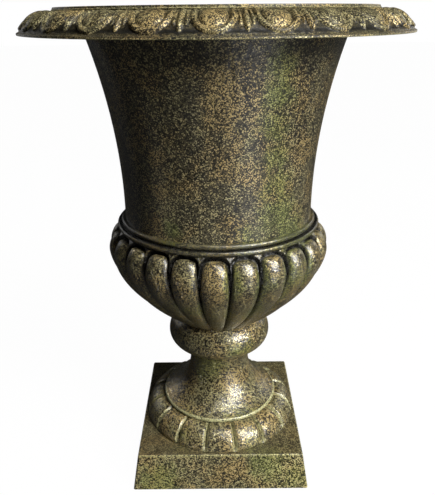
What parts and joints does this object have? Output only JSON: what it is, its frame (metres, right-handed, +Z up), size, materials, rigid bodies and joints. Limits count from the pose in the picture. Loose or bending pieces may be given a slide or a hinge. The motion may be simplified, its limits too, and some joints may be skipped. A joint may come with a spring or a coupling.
{
  "type": "cast iron urn planter",
  "caption": "Campana urn planter in patinated cast iron: square plinth, tongued foot, knop, gadrooned bowl, flaring body and an overhanging egg and dart rim around an open planting space.",
  "frame": {"origin": "on the ground under the middle of the square plinth", "axes": "+Z up along the urn's axis, -Y out of the front of the plinth, +X to the right of it"},
  "size_m": [0.3376, 0.3376, 0.46],
  "materials": {
    "patinated_iron": "sand-cast iron with a dark bronze finish, dry-brushed gold on the raised forms and verdigris in patches",
    "zinc_steel": "dull zinc-plated steel",
    "seal_rubber": "matt black rubber"
  },
  "bodies": {
    "root": {"plinth": "patinated_iron", "socle": "patinated_iron", "knop": "patinated_iron", "bowl": "patinated_iron", "body": "patinated_iron", "rim": "patinated_iron", "tie_rod": "zinc_steel", "tie_rod_seal": "seal_rubber", "tie_rod_top_washer": "zinc_steel", "tie_rod_top_nut": "zinc_steel", "clamp_bar": "zinc_steel", "tie_rod_bottom_washer": "zinc_steel", "tie_rod_bottom_nut": "zinc_steel", "flange_bolts": "zinc_steel", "flange_bolt_washers": "zinc_steel", "flange_nut_washers": "zinc_steel", "flange_nuts": "zinc_steel", "rim_screws": "zinc_steel", "rim_screw_washers": "zinc_steel"}
  },
  "joints": []
}
